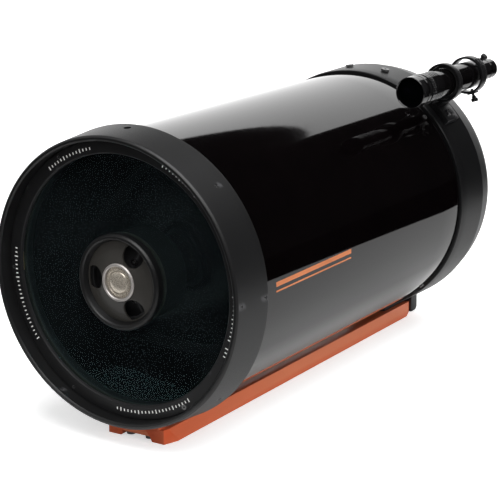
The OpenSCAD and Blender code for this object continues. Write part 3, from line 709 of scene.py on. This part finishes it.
def stripe_into(bm, angle, half):
    """Adds one thin curved stripe that hugs the tube."""
    reach = math.degrees(half / TUBE_R)
    rows = []
    for r in (TUBE_R - 0.1, TUBE_R + 0.04):
        for k in range(STRIPE_STEPS + 1):
            t = math.radians(angle - reach + 2 * reach * k / STRIPE_STEPS)
            x, y = r * math.sin(t), -r * math.cos(t)
            rows.append([bm.verts.new((x, y, z)) for z in (STRIPE_FRONT, STRIPE_BACK)])
    inner, outer = rows[:STRIPE_STEPS + 1], rows[STRIPE_STEPS + 1:]
    for k in range(STRIPE_STEPS):
        bm.faces.new((outer[k][0], outer[k][1], outer[k + 1][1], outer[k + 1][0]))
        bm.faces.new((inner[k][0], inner[k + 1][0], inner[k + 1][1], inner[k][1]))
        for end in (0, 1):
            bm.faces.new((inner[k][end], outer[k][end], outer[k + 1][end], inner[k + 1][end]))
    for k in (0, STRIPE_STEPS):
        bm.faces.new((inner[k][0], inner[k][1], outer[k][1], outer[k][0]))


def tube_stripes():
    """Plain orange pinstripes on the tube's side."""
    bm = bmesh.new()
    for angle, half in STRIPES:
        stripe_into(bm, angle, half)
    finished("tube_pinstripes", bm, MAIN, orange_ink, weld=False)


# ---------- rear cell ----------

CELL_IN_R = TUBE_R - 1.65              # the collar that fits inside the tube
BACK = z_span("focus_retainer_plate")[0] - 0.05
REAR_SCREWS, REAR_SCREW_Z = (45, 135, 225, 315), 427
PLUGS, PLUG_Z = (-8, 11), 462
BRACKET_SCREWS, BRACKET_SCREW_Z = (FINDER_ANGLE - 6.8, FINDER_ANGLE + 6.8), 458
FOCUS_HOLE_R = 10.5
PLATE_SCREWS = [20 + 120 * k for k in range(3)]
PLATE_SCREW_R = 14


def rear_cell():
    """The cast rear housing, with the openings for its screws and the focuser."""
    body = lathe("rear_cell_casting", divided([
        (CELL_IN_R, 420, 0.4), (CELL_IN_R, 437.4), (133.2, 437.8, 0.3), (134, 438.6, 0.6),
        (134.6, 446.7), (135, 487, 1.2), (134.2, 491, 3), (132.8, 498, 8), (131.4, 505, 8),
        (130, 510.5, 8), (127.6, 516, 8), (123.8, 522, 6), (118.5, 526.2, 5), (112, BACK - 0.4, 3),
        (108, BACK, 1), (54, BACK, 0.4), (53, BACK + 2, 0.4), (25.4, BACK + 2), (25.4, BACK + 13),
        (24.4, BACK + 14, 0.3), (19, BACK + 14, 0.3), (19, 516), (24.05, 516), (24.05, 500),
        (33, 500), (33, 521.5), (110, 521.5), (117, 519.5), (122.5, 514), (125.2, 509),
        (127.5, 500), (128.6, 490), (128.6, 480), (126, 446), (126, 420)], step=5), rear_paint,
        segments=192, replaces=["rear_cell"])
    tools = bmesh.new()
    side_holes(tools, REAR_SCREWS, REAR_SCREW_Z, radius=1.35, inner_r=122)
    side_holes(tools, PLUGS, PLUG_Z, radius=2.0, inner_r=129)
    side_holes(tools, BRACKET_SCREWS, BRACKET_SCREW_Z, radius=2.0, inner_r=127.5)
    drill(tools, FOCUS, FOCUS_HOLE_R, low=510, high=540, count=48)
    for angle in PLATE_SCREWS:
        spot = around(angle) @ Matrix.Translation((PLATE_SCREW_R, 0, 0))
        drill(tools, FOCUS @ spot, radius=1.5, low=523, high=535)
    cut(body, tools)


FOOT_FRONT = z_span("dovetail_bar")[1] + 0.8
FOOT_BACK = 529.5
FOOT_TOP = 119                         # below the axis, inside the casting
FOOT_BOTTOM = AXIS.z / MM - 1          # clear of the floor
FOOT_HALF = 35
FOOT_CORNER = 5
CORNER_STEPS = 8


def rear_foot():
    """The foot that hangs from the rear cell behind the bar's end, rounded below."""
    across = Matrix.Rotation(math.radians(-90), 4, "Y")
    centre_z, centre_down = FOOT_BACK - FOOT_CORNER, FOOT_BOTTOM - FOOT_CORNER
    turns = [math.pi / 2 * k / CORNER_STEPS for k in range(CORNER_STEPS + 1)]
    shape = [(FOOT_FRONT, FOOT_TOP), (FOOT_BACK, FOOT_TOP)]
    shape += [(centre_z + FOOT_CORNER * math.cos(t), centre_down + FOOT_CORNER * math.sin(t))
              for t in turns]
    shape += [(FOOT_FRONT, FOOT_BOTTOM)]
    foot = bmesh.new()
    prism_into(foot, shape, -FOOT_HALF, FOOT_HALF, across)
    block = finished("rear_foot_block", foot, MAIN, rear_paint, replaces=["rear_cell"])
    bevelled(block, width=0.8, segments=3, angle=40)


PAD_FRONT, PAD_BACK = 468, 523.5
PAD_HALF = 26
PAD_TOP = 129.3
SADDLE_R = 146.4                       # the hollow in the bar that the pad sits in
PAD_STEPS = 16


def rear_pad():
    """The pad between the rear cell and the bar, round underneath."""
    reach = [PAD_HALF * (2 * k / PAD_STEPS - 1) for k in range(PAD_STEPS + 1)]
    shape = [(x, math.sqrt(SADDLE_R ** 2 - x * x)) for x in reach]
    shape += [(x, PAD_TOP) for x in (PAD_HALF, -PAD_HALF)]
    pad = bmesh.new()
    prism_into(pad, shape, PAD_FRONT, PAD_BACK)
    block = finished("rear_bar_pad", pad, MAIN, rear_paint, replaces=["rear_cell"])
    bevelled(block, width=0.5, segments=2, angle=40)


# ---------- finder ----------

AIMING_SCREWS = 3
KNOB_START = 23.4                      # where the heads begin, from the finder's axis


def finder_knobs():
    """Stepped round heads on the aiming screws; each rides with its own head's body."""
    hub = middle("finder_barrel")
    for k in range(AIMING_SCREWS):
        name = "finder_screw_%d_knob" % (k + 1)
        turn = math.radians(FINDER_ANGLE + 360 / AIMING_SCREWS * k)
        out = Vector((math.sin(turn), 0, math.cos(turn)))
        foot = Vector((hub.x, middle(name).y, hub.z)) + out * KNOB_START * MM
        stand = out.to_track_quat("Z", "Y").to_matrix().to_4x4()
        lathe(name + "_finished", [
            (1.55, 0), (2.3, 0, 0.2), (2.3, 2.3), (3.4, 2.5, 0.2), (3.6, 2.9, 0.2), (3.6, 5.8, 0.3),
            (3.2, 6.2, 0.3), (0, 6.2), (0, 4.7), (1.55, 4.7)], moulded,
            Matrix.Translation(foot) @ stand @ Matrix.Scale(MM, 4), segments=48,
            body=NODES[name]["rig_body"], replaces=[name])


# ---------- everything in its place ----------

front_cell()
retaining_ring()
ring_ticks()
corrector()
secondary_housing()
secondary_dish()
secondary_cap()
tube()
tube_stripes()
rear_cell()
rear_foot()
rear_pad()
finder_knobs()
refined("dovetail_bar", 0.7, orange_anodised)
refined("dovetail_front_block", 0.4, orange_anodised)
refined("finder_bracket", 0.5, finder_satin, 2, 40)
refined("visual_back", 0.3, finder_satin, 2, 40)
refined("visual_back_slip_ring", 0.25, finder_satin, 2, 50)
refined("focus_retainer_plate", 0.3, black_anodised, 2, 40)
refined("focus_knob_grip", 0.3, rubber, 2, 50)


# ---------- floor and backdrop ----------

FLOOR_HALF = 12.0
FLOOR_WHITE = 0.82
FLOOR_ROUGH = 0.9
NEAR_FLOOR, FAR_FLOOR = 0.085, 0.125   # the floor fades in reflections away from the tube
MIRRORED_LOSS = 0.34
BOUNCE_LOSS = 0.5                      # less light thrown up from below than a white floor gives
SHADOW_LIFT = 0.55                     # the eye sees only the deepest shadow on the floor
EDGE_FROM = Vector((0.578, 0.468))     # the studio table's far edge, seen only in reflections
EDGE_TO = Vector((0.403, 0.730))
FRONT_EDGE = -0.42
BACKDROP_Y = 1.73
BACKDROP_LEFT, BACKDROP_RIGHT = -5, 0.13
BACKDROP_TOP = 1.42
BACKDROP_GLOW = 1.55


def off_the_table(tree, where, across):
    """1 past the studio table's far or front edge, 0 on the table."""
    along = EDGE_TO - EDGE_FROM
    beyond = node(tree, "ShaderNodeVectorMath", operation="DOT_PRODUCT")
    beyond.inputs[1].default_value = (along.y, -along.x, 0)
    tree.links.new(where, beyond.inputs[0])
    limit = along.y * EDGE_FROM.x - along.x * EDGE_FROM.y
    past = calculated(tree, "GREATER_THAN", beyond.outputs["Value"], limit)
    front = calculated(tree, "LESS_THAN", across.outputs[1], FRONT_EDGE)
    return calculated(tree, "MAXIMUM", past, front)


def floor_material():
    """Pale floor to the eye and to soft light; mirror-like paint sees it end at the table's edges."""
    made = bpy.data.materials.new("pale_floor")
    made.use_nodes = True
    tree = made.node_tree
    shader = tree.nodes["Principled BSDF"]
    shader.inputs["Base Color"].default_value = (FLOOR_WHITE,) * 3 + (1,)
    shader.inputs["Roughness"].default_value = FLOOR_ROUGH
    shader.inputs["Specular IOR Level"].default_value = 0
    where = node(tree, "ShaderNodeTexCoord").outputs["Object"]
    across = node(tree, "ShaderNodeSeparateXYZ")
    tree.links.new(where, across.inputs[0])
    rays = node(tree, "ShaderNodeLightPath")
    faded = ranged(tree, across.outputs[0], (NEAR_FLOOR, FAR_FLOOR), (0, MIRRORED_LOSS))
    missing = calculated(tree, "MAXIMUM", off_the_table(tree, where, across), faded)
    mirrored = calculated(tree, "MULTIPLY", missing, rays.outputs["Is Glossy Ray"])
    loss = calculated(tree, "MULTIPLY_ADD", rays.outputs["Is Diffuse Ray"], BOUNCE_LOSS, mirrored)
    dark = node(tree, "ShaderNodeEmission", Strength=0.0)
    blend = node(tree, "ShaderNodeMixShader")
    tree.links.new(loss, blend.inputs[0])
    tree.links.new(shader.outputs[0], blend.inputs[1])
    tree.links.new(dark.outputs[0], blend.inputs[2])
    lift = node(tree, "ShaderNodeEmission")
    lifted = calculated(tree, "MULTIPLY", rays.outputs["Is Camera Ray"], SHADOW_LIFT)
    tree.links.new(lifted, lift.inputs["Strength"])
    total = node(tree, "ShaderNodeAddShader")
    tree.links.new(blend.outputs[0], total.inputs[0])
    tree.links.new(lift.outputs[0], total.inputs[1])
    tree.links.new(total.outputs[0], tree.nodes["Material Output"].inputs["Surface"])
    return made


def glowing_material():
    """Even white light, seen only in reflections."""
    made = bpy.data.materials.new("backdrop_glow")
    made.use_nodes = True
    tree = made.node_tree
    tree.nodes.remove(tree.nodes["Principled BSDF"])
    lamp = node(tree, "ShaderNodeEmission", Strength=BACKDROP_GLOW)
    tree.links.new(lamp.outputs[0], tree.nodes["Material Output"].inputs["Surface"])
    return made


def sheet(name, corners, material):
    """A flat sheet that isn't part of the object."""
    mesh = bpy.data.meshes.new(name)
    mesh.from_pydata(corners, [], [tuple(range(len(corners)))])
    mesh.materials.append(material)
    obj = bpy.data.objects.new(name, mesh)
    bpy.context.scene.collection.objects.link(obj)
    return obj


sheet("floor", [(-FLOOR_HALF, -FLOOR_HALF, 0), (FLOOR_HALF, -FLOOR_HALF, 0),
                (FLOOR_HALF, FLOOR_HALF, 0), (-FLOOR_HALF, FLOOR_HALF, 0)], floor_material())
backdrop = sheet("backdrop", [(BACKDROP_LEFT, BACKDROP_Y, 0), (BACKDROP_RIGHT, BACKDROP_Y, 0),
                              (BACKDROP_RIGHT, BACKDROP_Y, BACKDROP_TOP),
                              (BACKDROP_LEFT, BACKDROP_Y, BACKDROP_TOP)], glowing_material())
backdrop.visible_camera = False
backdrop.visible_diffuse = False
backdrop.visible_shadow = False


# ---------- light ----------

MIRRORED_SKY = 0.008                   # what the black enamel sees above the studio


def direction(azimuth, elevation):
    """The way to a light; azimuth 0 is +Y and 90 is +X."""
    a, e = math.radians(azimuth), math.radians(elevation)
    return Vector((math.sin(a) * math.cos(e), math.cos(a) * math.cos(e), math.sin(e)))


def sun(name, strength, size, azimuth, elevation, glossy=True):
    """A soft sun, as wide as its size in degrees; one that isn't glossy makes no highlights."""
    data = bpy.data.lights.new(name, "SUN")
    data.energy = strength
    data.angle = math.radians(size)
    obj = bpy.data.objects.new(name, data)
    bpy.context.scene.collection.objects.link(obj)
    obj.rotation_euler = direction(azimuth, elevation).to_track_quat("Z", "Y").to_euler()
    obj.visible_glossy = glossy


def studio_sky():
    """White to the eye, nearly black in reflections and as a light."""
    world = bpy.data.worlds.new("studio")
    bpy.context.scene.world = world
    world.use_nodes = True
    tree = world.node_tree
    rays = node(tree, "ShaderNodeLightPath")
    colour = mixed(tree, rays.outputs["Is Camera Ray"], (MIRRORED_SKY,) * 3, (1.0, 1.0, 1.0))
    tree.links.new(colour, tree.nodes["Background"].inputs["Color"])


sun("key_light", 3.8, 60, 105, 70)
sun("side_light", 1.7, 30, 90, 14, glossy=False)
sun("front_light", 1.1, 60, 155, 28, glossy=False)
sun("fill_light", 0.7, 90, -110, 50)
studio_sky()


# ---------- camera ----------

LENS, SENSOR = 119.57, 36
FAR_CLIP = 60
VIEW_AZIMUTH, VIEW_ELEVATION, VIEW_ROLL, VIEW_DISTANCE = 33.23, 15.148, -0.548, 1.73536
VIEW_TARGET = Vector((-0.029114, 0, 0.122682))


def studio_camera():
    """The camera, VIEW_AZIMUTH round from the tube's front towards +X."""
    data = bpy.data.cameras.new("camera")
    data.lens = LENS
    data.sensor_width = SENSOR
    data.clip_end = FAR_CLIP
    camera = bpy.data.objects.new("camera", data)
    bpy.context.scene.collection.objects.link(camera)
    a, e = math.radians(VIEW_AZIMUTH), math.radians(VIEW_ELEVATION)
    back = Vector((math.sin(a) * math.cos(e), -math.cos(a) * math.cos(e), math.sin(e)))
    facing = (-back).to_track_quat("-Z", "Y").to_matrix().to_4x4()
    camera.location = VIEW_TARGET + back * VIEW_DISTANCE
    camera.rotation_euler = (facing @ Matrix.Rotation(math.radians(VIEW_ROLL), 4, "Z")).to_euler()
    return camera


bpy.context.scene.camera = studio_camera()
bpy.context.scene.view_settings.view_transform = "Standard"
bpy.context.scene.view_settings.look = "None"
